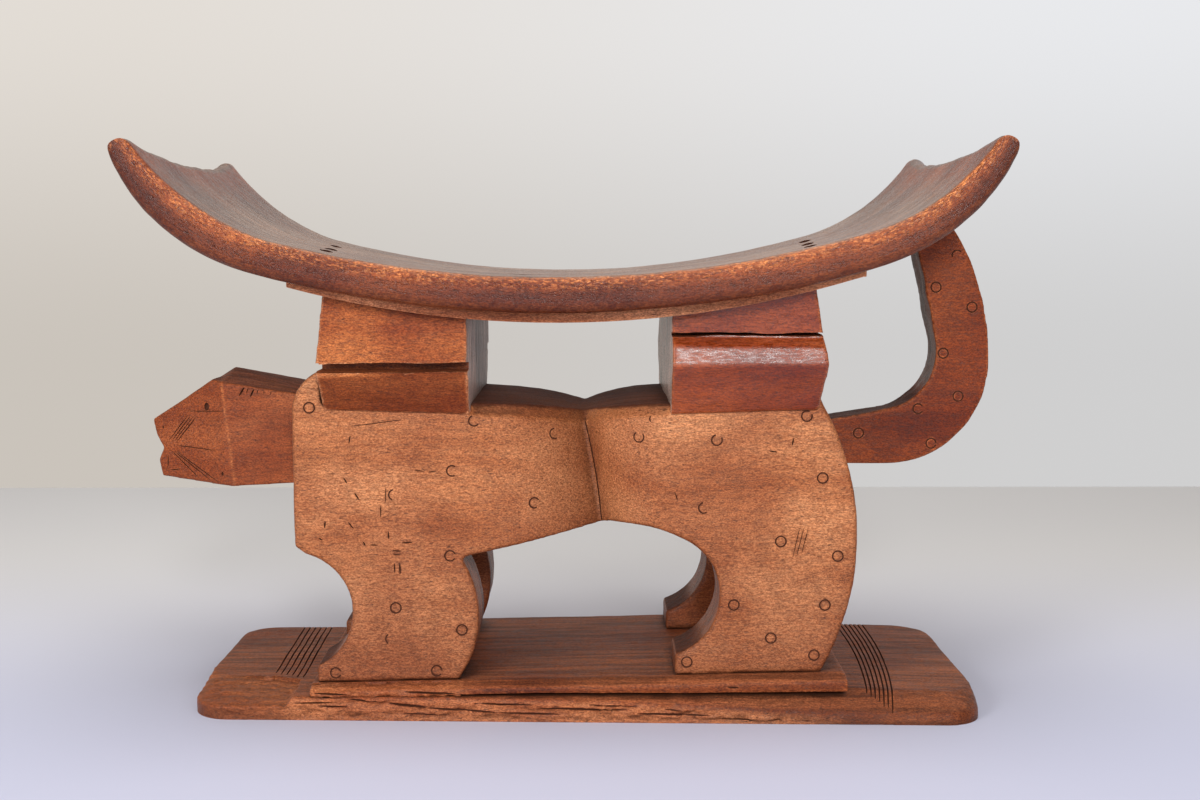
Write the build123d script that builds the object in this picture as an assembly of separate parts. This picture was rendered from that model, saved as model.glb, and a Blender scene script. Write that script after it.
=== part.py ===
from build123d import *
import os
from math import sqrt

# Carved animal stool: a crescent seat on two posts, which stand on the back of a
# four-legged animal, which stands on a plinth and a plank.
# Millimetres. X runs along the seat with the head towards -X, Y runs across, Z is up.
# The origin is on the floor, under the middle of the overall box.

# ---------------------------------------------------------------- driving sizes
# Seat, in its own frame: the origin is on top of the seat at its lowest point
SEAT_AT = (-2.0, 297.0)          # X and Z of that point in the stool
SEAT_TILT = 0.6                  # degrees, tail end up
SEAT_WIDTH = 276.0
SEAT_HALF_LENGTH = 271.7         # to the top edge of a tip
SEAT_RISE = 84.8                 # from the lowest point to that edge
SEAT_MID_RADIUS = 711.5          # the shallow middle of the crescent
SEAT_MID_HALF = 186.5            # where the tips start to sweep up
SEAT_THICKNESS = 22.8
TIP_THICKNESS = 13.0
TIP_SCOOP = 13.0                 # how far a tip's end is hollowed
SCOOP_HALF_WIDTH = 126.0
SEAT_TOP_ROUND = 3.0
SEAT_UNDER_ROUND = 7.0

# Slots cut in the seat: a long one in the middle, a row of short ones near each end
SLIT_X = -20.0
SLIT_LENGTH = 38.0
SLIT_WIDTH = 5.0
SHORT_SLOT_X = (-165.0, 168.0)
SHORT_SLOT_COUNT = 3
SHORT_SLOT_LENGTH = 12.0
SHORT_SLOT_WIDTH = 3.5
SHORT_SLOT_PITCH = 8.0
SLOT_DEPTH = 8.0

# Raised band under the seat
PAD_HALF = 112.0
PAD_X = (-179.0, 186.0)          # its ends, in the seat's frame
PAD_THICKNESS = 7.0              # under the middle of the seat
PAD_END_THICKNESS = 4.5
PAD_HALF_CHORD = 184.0           # distance from the middle to that thickness

# Body: widths across, and the levels that its pieces share
BODY_HALF = 82.0
BACK_Z = 211.0
LEG_TOP_Z = 108.0
LEG_THICKNESS = 44.0
WAIST_HALF = 48.0
WAIST_TOP = (8.0, 203.5)         # X and Z of the crease between the quarters
WAIST_BOTTOM = (20.5, 126.5)
BACK_BEVEL = 8.0                 # along the back between a post and the waist

# Forequarters and fore legs, X and Z as seen from the side
CHEST_X = -185.5
BREAST = (-178.0, 110.5)
BREAST_Z = 116.0
FORE_SHIN = (-147.5, 73.0)
FORE_TOE = (-172.0, 34.5)
FORE_TOE_LEAN = 2.0
FORE_CALF = (-62.3, 72.6)
FORE_HEEL = (-76.0, 25.0)
FORE_BELLY_X = -74.0             # where the belly meets the leg
BELLY = (-33.0, 117.0)           # a point of the belly between leg and waist
SHOULDER_Z = 234.5               # top of the hump in front of the post
SHOULDER_START_Z = 206.0         # where the chest starts to curve back

# Hindquarters and hind legs
GROIN = (74.0, 121.0)
HIND_SHIN = (99.6, 82.0)
HIND_TOE = (69.5, 42.0)
HIND_HEEL = (168.5, 30.0)
HAUNCH = (190.3, 145.0)
RUMP_X = 168.0                   # back corner of the haunch at the level of the back
FLANK = (47.0, 128.5)            # a point of the belly between waist and groin

# Posts: half widths across, X of the faces seen from the side, and levels
POST_FOOT_HALF = 86.0
FRONT_INNER_X = -67.0
FRONT_OUTER_X = (-165.6, -165.8, -159.4)     # at the foot, at the lip and at the top
FRONT_SPLIT_Z = 232.5
FRONT_SHELF_HALF = 100.0
FRONT_LIP_HALF = 104.0
FRONT_NOTCH = (12.0, 8.5)                    # depth and height of the undercut
REAR_INNER_X = 66.0
REAR_OUTER_X = (163.5, 164.7, 158.3)
REAR_BULGE_X = 167.5
REAR_SPLIT_Z = 256.5
REAR_CREASE_Z = 240.0
REAR_CREASE_HALF = 106.0
REAR_SHELF_HALF = 98.0
REAR_LIP_HALF = 104.0
REAR_NOTCH = (8.0, 4.0)
POST_TOP_Z = (279.5, 287.0)                  # where the outer ends reach their top X
POST_REACH_Z = 330.0                         # above the band, which trims the posts

# Head
HEAD_HALF = 43.0
NAPE_Z = 213.5                   # top of the head at the chest
THROAT_Z = 153.0
BROW = (-247.5, 224.5)
CHEEK_X = -239.0                 # where the snout starts to narrow
NOSE = (-294.6, 194.5)
NOSE_HALF = 20.0
UPPER_LIP = (-292.0, 183.5)
MOUTH = (-287.0, 175.0)
LOWER_LIP = (-291.0, 166.0)
CHIN = (-288.5, 155.0)
JAW = (-234.0, 150.5)

# Tail: a flat strap, bent up from the haunch to the seat, X and Z from the side
TAIL_END_X = SEAT_AT[0] + SEAT_HALF_LENGTH + 24.9    # its outermost point, past the seat's tip
TAIL_HALF = 15.0
TAIL_ROOT_Z = (161.5, 191.5)
TAIL_BEND_X = TAIL_END_X - 72.6  # where the straight root starts to bend
TAIL_BEND_Z = 200.5              # inner edge there
TAIL_OUTER = (TAIL_END_X, 234.0)
TAIL_INNER = (TAIL_END_X - 38.3, 250.0)
TAIL_TOP_X = (TAIL_END_X - 56.0, TAIL_END_X - 27.0)  # edges at the level below
TAIL_TOP_Z = 328.0
TAIL_TOP_LEAN = 0.45             # run per rise of the edges above that level

# Plinth, and the plank it stands on; both rise towards the tail
PLINTH_X = (-176.0, 185.0)
PLINTH_HALF = 93.0
PLINTH_TOP_Z = 26.3              # at the origin
PLINTH_SLOPE = 0.02
PLINTH_BEVEL = (9.0, 3.5)        # width and height of the worn slope along its long edges
PLINTH_ROUND = 1.5
PLANK_X = (-258.0, 278.0)
PLANK_LEFT_HALF = (90.0, 109.0)  # reach to the animal's left, at the head end and the tail end
PLANK_RIGHT_HALF = (108.0, 104.0)
PLANK_TOP_Z = (15.0, 18.7, 16.0) # at the head end, at the plinth's tail end and at the tail end
PLANK_EDGE = 9.0                 # thickness of its long edges
PLANK_SHOULDER = 13.0            # width of the slope beside each long edge
PLANK_CORNER = 26.0
GROOVE_COUNT = (6, 7)            # at the head end and at the tail end
GROOVE_X = (-201.0, 211.0)       # middle of each band of grooves
GROOVE_PITCH = (4.2, 3.7)
GROOVE_WIDTH = 1.8
GROOVE_DEPTH = 1.5

FAR = 600.0                      # reach of cutting solids, past the whole stool
SAME = 0.01                      # lengths closer than this are equal


# ---------------------------------------------------------------- shared helpers
def side_solid(edges, half, at_y=0.0):
    """A closed outline in X and Z, made twice half thick about at_y."""
    face = Plane.XZ * make_face(edges)
    return Pos(0, at_y, 0) * extrude(face, amount=half, both=True)


def closed(*points):
    return Polyline(*points, close=True).edges()


def block(x, y, z):
    """A box between pairs of limits."""
    size = [high - low for low, high in (x, y, z)]
    middle = [(high + low) / 2 for low, high in (x, y, z)]
    return Pos(*middle) * Box(*size)


def between(x, ends, values):
    """The value at x on a straight line through two ends."""
    share = (x - ends[0]) / (ends[1] - ends[0])
    return values[0] + (values[1] - values[0]) * share


def plank_top(x):
    """Level of the plank's top, which falls again behind the plinth."""
    if x > PLINTH_X[1]:
        return between(x, (PLINTH_X[1], PLANK_X[1]), PLANK_TOP_Z[1:])
    return between(x, (PLANK_X[0], PLINTH_X[1]), PLANK_TOP_Z[:2])


def plinth_top(x):
    return PLINTH_TOP_Z + PLINTH_SLOPE * x


def above_plinth(solid):
    """Trim a leg to stand on the plinth."""
    under = closed((-FAR, -FAR), (FAR, -FAR), (FAR, plinth_top(FAR)), (-FAR, plinth_top(-FAR)))
    return solid - side_solid(under, FAR)


# ---------------------------------------------------------------- seat and band
def crescent(radius, half, middle, tip):
    """A crescent line from tip to tip: a shallow middle arc and two steep ones."""
    drop = radius - sqrt(radius ** 2 - half ** 2)
    shallow = ThreePointArc((-half, middle + drop), (0, middle), (half, middle + drop))
    steep = TangentArc(shallow @ 1, tip, tangent=shallow % 1)
    return [shallow, steep, steep.mirror(Plane.YZ)]


def seat_lines():
    """The top and the underside of the seat in its own frame, and the direction of a tip."""
    tip = Vector(SEAT_HALF_LENGTH, SEAT_RISE)
    top = crescent(SEAT_MID_RADIUS, SEAT_MID_HALF, 0.0, tip)
    along = top[1] % 1
    under_tip = tip + Vector(along.Y, -along.X) * TIP_THICKNESS
    radius = SEAT_MID_RADIUS + SEAT_THICKNESS
    under = crescent(radius, SEAT_MID_HALF * radius / SEAT_MID_RADIUS, -SEAT_THICKNESS, under_tip)
    return top, under, along


def in_stool(shape):
    """Carry a shape from the seat's frame to the stool's."""
    return Pos(SEAT_AT[0], 0, SEAT_AT[1]) * Rot(0, -SEAT_TILT, 0) * shape


def scoop_cutter(tip, along):
    """The hollow in a tip's end: a shallow arc, cut square to the seat's surface."""
    plane = Plane(origin=(tip.X, 0, tip.Y), x_dir=(along.X, 0, along.Y), z_dir=(-along.Y, 0, along.X))
    bow = ThreePointArc((0, -SCOOP_HALF_WIDTH), (-TIP_SCOOP, 0), (0, SCOOP_HALF_WIDTH))
    reach = 3 * TIP_SCOOP
    rest = Polyline((0, SCOOP_HALF_WIDTH), (reach, SCOOP_HALF_WIDTH), (reach, -SCOOP_HALF_WIDTH),
                    (0, -SCOOP_HALF_WIDTH))
    return extrude(plane * make_face([bow] + rest.edges()), amount=2 * SEAT_THICKNESS, both=True)


def slot_cutters():
    """Blind slots in the seat."""
    bow = ThreePointArc((-SLIT_LENGTH / 2, 0), (0, SLIT_WIDTH / 2), (SLIT_LENGTH / 2, 0))
    lens = make_face([bow, bow.mirror(Plane.XZ)])
    cutters = [Pos(SLIT_X, 0, 0) * extrude(lens, amount=SLOT_DEPTH, both=True)]
    for x in SHORT_SLOT_X:
        surface = SEAT_MID_RADIUS - sqrt(SEAT_MID_RADIUS ** 2 - x ** 2)
        for i in range(SHORT_SLOT_COUNT):
            y = (i - (SHORT_SLOT_COUNT - 1) / 2) * SHORT_SLOT_PITCH
            cutters.append(Pos(x, y, surface) * Box(SHORT_SLOT_LENGTH, SHORT_SLOT_WIDTH, 2 * SLOT_DEPTH))
    return cutters


def long_rims(slab, lines):
    """The long edges of the seat that follow the given lines."""
    radii = [line.radius for line in lines]
    rims = slab.edges().filter_by(GeomType.CIRCLE)
    rims = [e for e in rims if abs(e.center().Y) > SEAT_WIDTH / 2 - SAME]
    return [e for e in rims if min(abs(e.radius - radius) for radius in radii) < SAME]


def make_seat():
    """The crescent slab: rounded long edges, hollowed ends and blind slots."""
    top, under, along = seat_lines()
    ends = [Line(top[1] @ 1, under[1] @ 1), Line(top[2] @ 1, under[2] @ 1)]
    slab = side_solid(top + under + ends, SEAT_WIDTH / 2)
    slab = fillet(long_rims(slab, under), SEAT_UNDER_ROUND)
    slab = fillet(long_rims(slab, top), SEAT_TOP_ROUND)
    cutter = scoop_cutter(top[1] @ 1, along)
    slab = slab - cutter - cutter.mirror(Plane.YZ)
    for slot in slot_cutters():
        slab = slab - slot
    return in_stool(slab)


def above_line(edges, left, right):
    """Everything above a line that runs from left to right, in the stool."""
    roof = Polyline(right, (FAR, right.Y), (FAR, FAR), (-FAR, FAR), (-FAR, left.Y), left)
    return in_stool(side_solid(edges + roof.edges(), FAR))


def above_seat_underside():
    under = seat_lines()[1]
    return above_line(under, under[2] @ 1, under[1] @ 1)


def pad_arc():
    """The underside of the band, a little flatter than the seat's."""
    radius = SEAT_MID_RADIUS + SEAT_THICKNESS
    rise = radius - sqrt(radius ** 2 - PAD_HALF_CHORD ** 2) + PAD_THICKNESS - PAD_END_THICKNESS
    low = -SEAT_THICKNESS - PAD_THICKNESS
    return ThreePointArc((-PAD_HALF_CHORD, low + rise), (0, low), (PAD_HALF_CHORD, low + rise))


def make_pad():
    band = above_line([pad_arc()], pad_arc() @ 0, pad_arc() @ 1)
    band = band & in_stool(block(PAD_X, (-PAD_HALF, PAD_HALF), (-FAR, FAR)))
    return band - above_seat_underside()


# ---------------------------------------------------------------- posts
def across_solid(halves, x):
    """A stack of half widths, given as pairs of half width and level, made from x[0] to x[1]."""
    right = list(halves)
    left = [(-half, z) for half, z in reversed(right)]
    face = Plane.YZ * make_face(closed(*right, *left))
    return Pos(x[0], 0, 0) * extrude(face, amount=x[1] - x[0])


def undercut(block_x, outer, half, split, notch):
    """The rim that a notch takes off the bottom of an upper block: both long sides and the outer end."""
    depth, height = notch
    core_x = (block_x[0] + depth, block_x[1]) if outer < block_x[1] else (block_x[0], block_x[1] - depth)
    ring = block((block_x[0] - FAR, block_x[1] + FAR), (-FAR, FAR), (split, split + height))
    return ring - block(core_x, (depth - half, half - depth), (split, split + height))


def make_posts():
    """Two posts, each a lower block on the back and an undercut upper block under the band."""
    trim = above_line([pad_arc()], pad_arc() @ 0, pad_arc() @ 1)
    blocks = {}

    foot, lip, top = FRONT_OUTER_X
    inner = FRONT_INNER_X
    reach = (min(FRONT_OUTER_X), inner)
    low = across_solid([(POST_FOOT_HALF, BACK_Z), (FRONT_SHELF_HALF, FRONT_SPLIT_Z)], (foot, inner))
    high = across_solid([(FRONT_LIP_HALF, FRONT_SPLIT_Z), (FRONT_LIP_HALF, POST_REACH_Z)], reach)
    side = closed((lip, FRONT_SPLIT_Z), (inner, FRONT_SPLIT_Z), (inner, POST_REACH_Z), (top, POST_REACH_Z),
                  (top, POST_TOP_Z[0]))
    high = (high & side_solid(side, FAR)) - undercut(reach, lip, FRONT_LIP_HALF, FRONT_SPLIT_Z, FRONT_NOTCH)
    blocks["front_post_lower"] = low
    blocks["front_post_upper"] = high - trim

    foot, lip, top = REAR_OUTER_X
    inner = REAR_INNER_X
    reach = (inner, REAR_BULGE_X)
    low = across_solid([(POST_FOOT_HALF, BACK_Z), (REAR_CREASE_HALF, REAR_CREASE_Z),
                        (REAR_SHELF_HALF, REAR_SPLIT_Z)], reach)
    side = closed((inner, BACK_Z), (foot, BACK_Z), (REAR_BULGE_X, REAR_CREASE_Z), (lip, REAR_SPLIT_Z),
                  (inner, REAR_SPLIT_Z))
    high = across_solid([(REAR_SHELF_HALF, REAR_SPLIT_Z), (REAR_LIP_HALF, POST_REACH_Z)], reach)
    slant = closed((inner, REAR_SPLIT_Z), (lip, REAR_SPLIT_Z), (top, POST_TOP_Z[1]), (top, POST_REACH_Z),
                   (inner, POST_REACH_Z))
    high = (high & side_solid(slant, FAR)) - undercut(reach, lip, REAR_SHELF_HALF, REAR_SPLIT_Z, REAR_NOTCH)
    blocks["rear_post_lower"] = low & side_solid(side, FAR)
    blocks["rear_post_upper"] = high - trim
    return blocks


# ---------------------------------------------------------------- body and legs
def fore_outline():
    """Side outline of the forequarters and a fore leg, down through the plinth."""
    calf = ThreePointArc((FORE_BELLY_X, LEG_TOP_Z), FORE_CALF, FORE_HEEL)
    shin = ThreePointArc(FORE_TOE, FORE_SHIN, BREAST)
    sole_x = FORE_TOE[0] + FORE_TOE_LEAN
    shelf_x = FRONT_OUTER_X[0]
    hump = TangentArc((CHEST_X, SHOULDER_START_Z), (shelf_x, SHOULDER_Z), tangent=(0, 1))
    rest = Polyline(BREAST, (CHEST_X, BREAST_Z), hump @ 0)
    back = Polyline(hump @ 1, (shelf_x, BACK_Z), (FRONT_INNER_X, BACK_Z), (FORE_BELLY_X, LEG_TOP_Z))
    foot = Polyline(FORE_HEEL, (FORE_HEEL[0], 0), (sole_x, 0), FORE_TOE)
    return [calf, shin, hump] + rest.edges() + back.edges() + foot.edges()


def hind_outline():
    """Side outline of the hindquarters and a hind leg, down through the plinth."""
    groin = ThreePointArc(GROIN, HIND_SHIN, HIND_TOE)
    haunch = ThreePointArc(HIND_HEEL, HAUNCH, (RUMP_X, BACK_Z))
    back = Polyline((RUMP_X, BACK_Z), (REAR_INNER_X, BACK_Z), GROIN)
    foot = Polyline(HIND_TOE, (HIND_TOE[0], 0), (HIND_HEEL[0], 0), HIND_HEEL)
    return [groin, haunch] + back.edges() + foot.edges()


def quarter(edges):
    """The part of a quarter above its legs."""
    return side_solid(edges, BODY_HALF) & block((-FAR, FAR), (-FAR, FAR), (LEG_TOP_Z, FAR))


def leg(edges, side):
    """One leg of a pair, under its quarter and standing on the plinth."""
    at_y = side * (BODY_HALF - LEG_THICKNESS / 2)
    below = block((-FAR, FAR), (-FAR, FAR), (-FAR, LEG_TOP_Z))
    return above_plinth(side_solid(edges, LEG_THICKNESS / 2, at_y) & below)


def loin(post_x, belly_point, belly_end):
    """The body between a post and the waist: narrowing in a curve, and bevelled along its back."""
    back = TangentArc((post_x, BACK_Z), WAIST_TOP, tangent=(WAIST_TOP[0] - post_x, 0))
    belly = ThreePointArc(belly_end, belly_point, WAIST_BOTTOM)
    rest = [Line(WAIST_TOP, WAIST_BOTTOM), Line(belly_end, back @ 0)]
    profile = side_solid([back, belly] + rest, BODY_HALF)

    # The plan leans with the waist, so that both quarters are equally wide all down the crease
    rise = Vector(*WAIST_TOP) - Vector(*WAIST_BOTTOM)
    crease = (Vector(*WAIST_TOP) + Vector(*WAIST_BOTTOM)) / 2
    start_x = belly_end[0]
    side = TangentArc((start_x, BODY_HALF), (crease.X, WAIST_HALF), tangent=(crease.X - start_x, 0))
    half_plan = [Line((2 * start_x - crease.X, BODY_HALF), side @ 0), side]
    other_half = [edge.mirror(Plane.XZ) for edge in half_plan]
    ends = [Line(half_plan[0] @ 0, other_half[0] @ 0), Line(side @ 1, other_half[1] @ 1)]
    plan = Pos(0, 0, crease.Y) * make_face(half_plan + other_half + ends)
    body = profile & extrude(plan, amount=FAR, dir=(rise.X, 0, rise.Y), both=True)

    crown = body.faces().sort_by(Axis.Z)[-1]
    rims = [e for e in crown.edges() if e.bounding_box().size.X > SAME]
    return chamfer(rims, BACK_BEVEL)


def make_body():
    """Both quarters and the four legs."""
    fore = fore_outline()
    hind = hind_outline()
    pieces = {
        "forequarters": quarter(fore) + loin(FRONT_INNER_X, BELLY, (FORE_BELLY_X, LEG_TOP_Z)),
        "hindquarters": quarter(hind) + loin(REAR_INNER_X, FLANK, GROIN),
    }
    for word, side in (("left", -1), ("right", 1)):
        pieces["fore_leg_" + word] = leg(fore, side)
        pieces["hind_leg_" + word] = leg(hind, side)
    return pieces


def make_head(forequarters):
    """A wedge of a head: flat cheeks, a snout narrowed in plan, and a notched mouth."""
    neck_x = FRONT_OUTER_X[0]
    side = closed((neck_x, NAPE_Z), (CHEST_X, NAPE_Z), BROW, NOSE, UPPER_LIP, MOUTH, LOWER_LIP, CHIN, JAW,
                  (CHEST_X, THROAT_Z), (neck_x, THROAT_Z))
    plan = closed((neck_x, -HEAD_HALF), (CHEEK_X, -HEAD_HALF), (NOSE[0], -NOSE_HALF),
                  (NOSE[0], NOSE_HALF), (CHEEK_X, HEAD_HALF), (neck_x, HEAD_HALF))
    return (side_solid(side, HEAD_HALF) & extrude(make_face(plan), amount=FAR)) - forequarters


def make_tail(hindquarters):
    """A strap bent up from the haunch, trimmed by the haunch and by the seat."""
    root_x = RUMP_X
    outer_low = (TAIL_BEND_X, TAIL_ROOT_Z[0])
    outer_bend = TangentArc(outer_low, TAIL_OUTER, tangent=(1, 0))
    outer_rise = TangentArc(TAIL_OUTER, (TAIL_TOP_X[1], TAIL_TOP_Z), tangent=outer_bend % 1)
    inner_root = Line((root_x, TAIL_ROOT_Z[1]), (TAIL_BEND_X, TAIL_BEND_Z))
    inner_bend = TangentArc(inner_root @ 1, TAIL_INNER, tangent=inner_root % 1)
    inner_rise = TangentArc(TAIL_INNER, (TAIL_TOP_X[0], TAIL_TOP_Z), tangent=inner_bend % 1)
    end_z = SEAT_AT[1] + SEAT_RISE
    outer_end = (TAIL_TOP_X[1] - (end_z - TAIL_TOP_Z) * TAIL_TOP_LEAN, end_z)
    inner_end = (TAIL_TOP_X[0] - (end_z - TAIL_TOP_Z) * TAIL_TOP_LEAN, end_z)
    ends = Polyline(outer_rise @ 1, outer_end, inner_end, inner_rise @ 1).edges()
    root = Polyline(inner_root @ 0, (root_x, TAIL_ROOT_Z[0]), outer_low).edges()
    strap = side_solid([outer_bend, outer_rise, inner_root, inner_bend, inner_rise] + ends + root, TAIL_HALF)
    return strap - above_seat_underside() - hindquarters


# ---------------------------------------------------------------- plinth and plank
def slab_section(x, reach, levels, slope_width):
    """A section across the stool at x: level on top, with a slope down to each long edge."""
    left, right = reach
    floor, edge, top = levels
    ring = closed((-left, floor), (right, floor), (right, edge), (right - slope_width, top),
                  (slope_width - left, top), (-left, edge))
    return Plane.YZ.offset(x) * make_face(ring)


def make_plinth():
    """The raised step that the feet stand on, worn to a slope along its long edges."""
    width, drop = PLINTH_BEVEL
    reach = (PLINTH_HALF, PLINTH_HALF)
    sections = []
    for x in PLINTH_X:
        levels = (plank_top(x), plinth_top(x) - drop, plinth_top(x))
        sections.append(slab_section(x, reach, levels, width))
    slab = loft(sections, ruled=True)
    across = slab.edges().filter_by(Axis.Y).sort_by(Axis.Z)
    return fillet(across[-2:], PLINTH_ROUND)


def plank_plan():
    """The plank seen from above, with rounded corners."""
    corners = [(PLANK_X[0], -PLANK_LEFT_HALF[0]), (PLANK_X[1], -PLANK_LEFT_HALF[1]),
               (PLANK_X[1], PLANK_RIGHT_HALF[1]), (PLANK_X[0], PLANK_RIGHT_HALF[0])]
    face = make_face(closed(*corners))
    return extrude(fillet(face.vertices(), PLANK_CORNER), amount=FAR, both=True)


def groove_cutters():
    """Two bands of saw cuts across the plank."""
    cutters = []
    for middle, count, pitch in zip(GROOVE_X, GROOVE_COUNT, GROOVE_PITCH):
        for i in range(count):
            x = middle + (i - (count - 1) / 2) * pitch
            walls = (x - GROOVE_WIDTH / 2, x + GROOVE_WIDTH / 2)
            cutters.append(block(walls, (-FAR, FAR), (plank_top(x) - GROOVE_DEPTH, FAR)))
    return cutters


def make_plank():
    """The plank on the floor, cut to its plan from a slab of changing thickness."""
    sections = []
    for x in (PLANK_X[0], PLINTH_X[1], PLANK_X[1]):
        reach = (between(x, PLANK_X, PLANK_LEFT_HALF), between(x, PLANK_X, PLANK_RIGHT_HALF))
        sections.append(slab_section(x, reach, (0, PLANK_EDGE, plank_top(x)), PLANK_SHOULDER))
    plank = loft(sections, ruled=True) & plank_plan()
    for cutter in groove_cutters():
        plank = plank - cutter
    return plank


# ---------------------------------------------------------------- files
def main():
    parts = {"seat": make_seat(), "seat_pad": make_pad()}
    parts |= make_posts()
    parts |= make_body()
    parts["head"] = make_head(parts["forequarters"])
    parts["tail"] = make_tail(parts["hindquarters"])
    parts["plinth"] = make_plinth()
    parts["base_plank"] = make_plank()
    os.makedirs("parts", exist_ok=True)
    for name, solid in parts.items():
        export_step(solid, "parts/" + name + ".step")


main()
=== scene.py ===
import math

import bmesh
import bpy
from mathutils import Matrix, Vector, noise
from mathutils.bvhtree import BVHTree


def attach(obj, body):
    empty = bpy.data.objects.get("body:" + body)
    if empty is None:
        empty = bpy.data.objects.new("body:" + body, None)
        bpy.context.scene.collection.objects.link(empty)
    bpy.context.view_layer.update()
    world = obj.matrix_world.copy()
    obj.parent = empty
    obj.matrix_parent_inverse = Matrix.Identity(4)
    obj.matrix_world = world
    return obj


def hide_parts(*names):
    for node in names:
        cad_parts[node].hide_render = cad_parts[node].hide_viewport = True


# A stool carved from one log: the carved surfaces, their tool marks and their finish.
# Metres. X runs along the seat with the head towards -X, Y runs across, Z is up.

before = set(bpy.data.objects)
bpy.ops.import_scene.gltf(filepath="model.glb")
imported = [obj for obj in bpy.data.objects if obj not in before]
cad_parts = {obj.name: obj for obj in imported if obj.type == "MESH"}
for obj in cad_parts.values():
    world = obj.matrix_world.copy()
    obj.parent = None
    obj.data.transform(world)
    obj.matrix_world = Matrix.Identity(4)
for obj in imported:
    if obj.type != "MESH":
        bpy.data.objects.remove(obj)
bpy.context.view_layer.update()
MM = 0.001

# ---------------- sizes, in millimetres
VOXEL = 1.5  # mesh size of the body, the largest of the carved masses
CONTACT = 2.5  # the mesh is left alone this near to a neighbour
SHARP_ANGLE = 50  # edges that turn more than this, in degrees, stay sharp

# Tool marks: depth, length of a stroke, and the share of them that faces looking sideways get
ALONG_GRAIN = 2.5  # strokes are this much longer along X
BODY_MARKS = ((0.5, 26, 1), (0.16, 6, 1))
HEAD_MARKS = ((0.4, 18, 1), (0.15, 5, 1))
TAIL_MARKS = ((1.1, 12, 0.1), (0.3, 18, 1))
POST_MARKS = ((0.6, 20, 1), (0.2, 6, 1))
PLINTH_MARKS = ((0.5, 24, 0.3), (0.2, 6, 0.3))
PLANK_MARKS = ((0.5, 26, 0.2), (0.2, 6, 0.2))
SEAT_MARKS = ((0.5, 30, 1), (0.25, 7, 1))

# Seat, in its own frame: lowest point on top at the origin
SEAT_AT = (-2, 297)
SEAT_TILT = 0.6  # in degrees
SEAT_WIDTH = 275.0
SEAT_MID_RADIUS = 711.5
SEAT_MID_HALF = 186.5
SEAT_TIP = (271.2, 87.6)
SEAT_THICKNESS = 22.8
SEAT_DISH = 2.0  # hollow across the seat
TOP_ROUNDING = 4
UNDER_ROUNDING = 7
TIP_THICKNESS = 15.0
TIP_SCOOP = 13.0  # hollow of the end faces, seen from above
TIP_ROUNDING = 5.6
LEFT_TIP_LIFT = 2.8  # the tip over the head stands this much steeper
LEFT_SWELL = 2.6  # and the seat is this much thicker on the way there
LONG_SLIT = (-24, 0, 44, 6)  # X, Y, length and width
SHORT_SLOT = (30, 9)  # length and width
SLOT_ROWS = ((-168, 0.11), (169, -0.11))  # X of a row of short slots, and its lean
SLOT_PITCH = 57.0  # from slot to slot across the seat
SLOT_DEPTH = 9

# Body: the planes that divide it, and the crease at the waist as it runs down the flank
WAIST_TOP = (8, 203.5)
WAIST_BOTTOM = (20.5, 126.5)
WAIST_LINE = ((20, 131.5), (9.2, 196))
WAIST_BOW = 1.2
WAIST_GROOVE = (0.8, 1)  # width and depth
LEG_TOP_Z = 107.0
SEAM_REACH = 2.0  # to both sides of a dividing plane
# How far the darkening beside the waist crease reaches behind the dividing plane, where it is partly a dark
# stain, and ahead of it, where it is painted shade
CREASE_SHADE_BEHIND = 14.0
CREASE_SHADE_AHEAD = 50.0

# Blocks, by the corners of one side; the other side is their mirror image
RUMP = ((66, 82, 205), (168, 82, 205), (168, 82, 211), (165, 82, 217.8), (66, 82, 211))
CREST = ((-240.5, 1, 230.2), (-178, 1, 214.8), (-240, 42.6, 223), (-178, 42.6, 213.2),
         (-293.6, 17, 195), (-240, 42.6, 215), (-178, 42.6, 205), (-290, 17, 190))
FRONT_POST = ((-165.8, 104, 236), (-67, 104, 236), (-67, 104, 287), (-159.4, 104, 287), (-160, 104, 281))
FRONT_FOOT = ((-163.5, 84, 212.2), (-67, 84, 207), (-165.6, 100, 232), (-67, 100, 235.6), (-165.6, 92, 245),
              (-67, 92, 245), (-163.5, 84, 208), (-67, 84, 205))
BAND_ROOM = ((-200, 120, 296), (0, 120, 296), (-200, 120, 320), (0, 120, 320))
REAR_POST = ((66, 98, 256), (164.7, 98, 256), (66, 101, 286), (158.3, 101, 287), (158.3, 102, 292),
             (66, 102, 292))
REAR_FOOT = ((66, 84, 210.6), (163.5, 84, 217.8), (66, 106, 238.5), (167.5, 106, 239.5), (66, 103.6, 251),
             (166, 103.6, 251), (66, 98, 258), (164.7, 98, 257), (66, 84, 205), (163.5, 84, 208))
# Slots cut from the side: run along X, Z of the mouth's lower and upper line at both ends of the run, Z of
# the two edges at the bottom of the slot, and depth
FRONT_SLOT = {"run": (-190, -50), "low": (227.8, 233), "high": (240.4, 243), "deep": (236, 240.4),
              "depth": 13}
REAR_SLOT = {"run": (50, 190), "low": (257.4, 255.4), "high": (262, 259), "deep": (258.8, 260), "depth": 12}
PLINTH_LIP = {"run": (-74, 200), "low": (14, 15.5), "high": (17.6, 18.9), "deep": (16.2, 18.2), "depth": 9}
BAND_TAIL_X = 180  # the band under the seat is drawn out beyond this X
BAND_TAIL_SHIFT = (5, 0, 1.4)
BAND_ROUNDING = 0.6

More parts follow.
